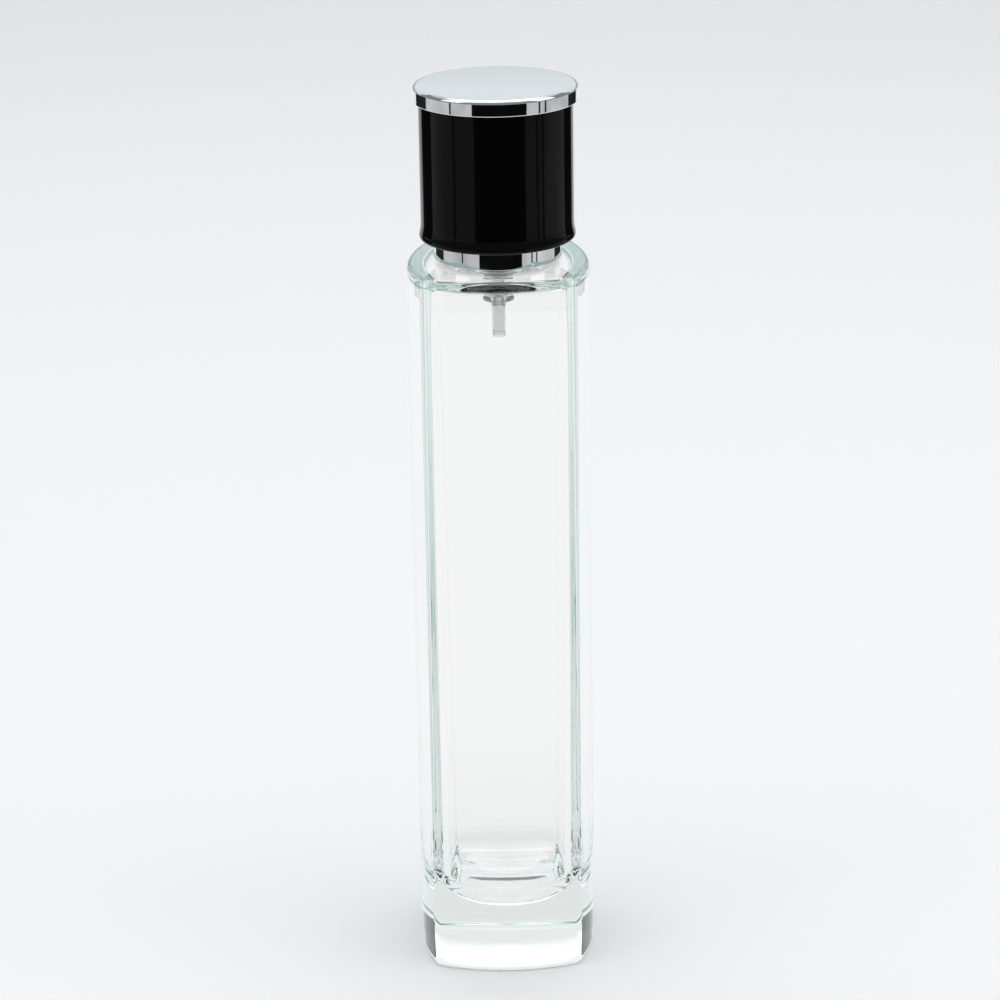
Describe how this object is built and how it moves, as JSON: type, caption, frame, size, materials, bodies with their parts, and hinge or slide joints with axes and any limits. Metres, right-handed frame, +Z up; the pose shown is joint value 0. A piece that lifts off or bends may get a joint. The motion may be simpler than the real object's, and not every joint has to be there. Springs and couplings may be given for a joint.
{
  "type": "aftershave bottle",
  "caption": "Tall square glass spray bottle with bowed faces and a thick foot, crimped pump, chrome collar and a black pull-off cap with a chrome disc.",
  "frame": {"origin": "centre of the foot, on the surface the bottle stands on", "axes": "+Z up the bottle, the spray leaves along -Y, +X to the right seen from the front"},
  "size_m": [0.036, 0.036, 0.1819],
  "materials": {
    "glass": "clear, fire polished",
    "cap_black": "high gloss black",
    "chrome": "mirror plated",
    "aluminium": "drawn, satin",
    "steel": "drawn wire and ground ball",
    "natural_plastic": "natural polyethylene, milky clear",
    "white_plastic": "white polypropylene",
    "seal": "soft seal"
  },
  "bodies": {
    "bottle": {"glass_bottle": "glass", "neck_gasket": "seal", "crimp_ferrule": "aluminium", "collar_insert": "white_plastic", "collar_shell": "chrome", "pump_housing": "natural_plastic", "stem_guide": "white_plastic", "stem_gasket": "seal", "return_spring": "steel"},
    "ball": {"inlet_ball": "steel"},
    "plunger": {"stem": "white_plastic", "piston": "natural_plastic"},
    "button": {"button_body": "white_plastic", "nozzle_insert": "white_plastic", "button_shell": "chrome"},
    "cap": {"cap_liner": "white_plastic", "cap_shell": "cap_black", "cap_top_plate": "chrome"}
  },
  "joints": [
    {"name": "cap_lift", "type": "slide", "parent": "bottle", "child": "cap", "axis": [0, 0, 1], "range_m": [0, 0.026]},
    {"name": "button_press", "type": "slide", "parent": "bottle", "child": "plunger", "axis": [0, 0, -1], "range_m": [0, 0.0045], "stiffness_N_per_m": 1000, "springref_m": -0.003, "deforming": ["return_spring"]},
    {"name": "button_turn", "type": "hinge", "parent": "plunger", "child": "button", "pos_m": [0, 0, 0.165], "axis": [0, 0, 1], "continuous": true},
    {"name": "ball_lift", "type": "slide", "parent": "bottle", "child": "ball", "axis": [0, 0, 1], "range_m": [0, 0.0008]}
  ]
}
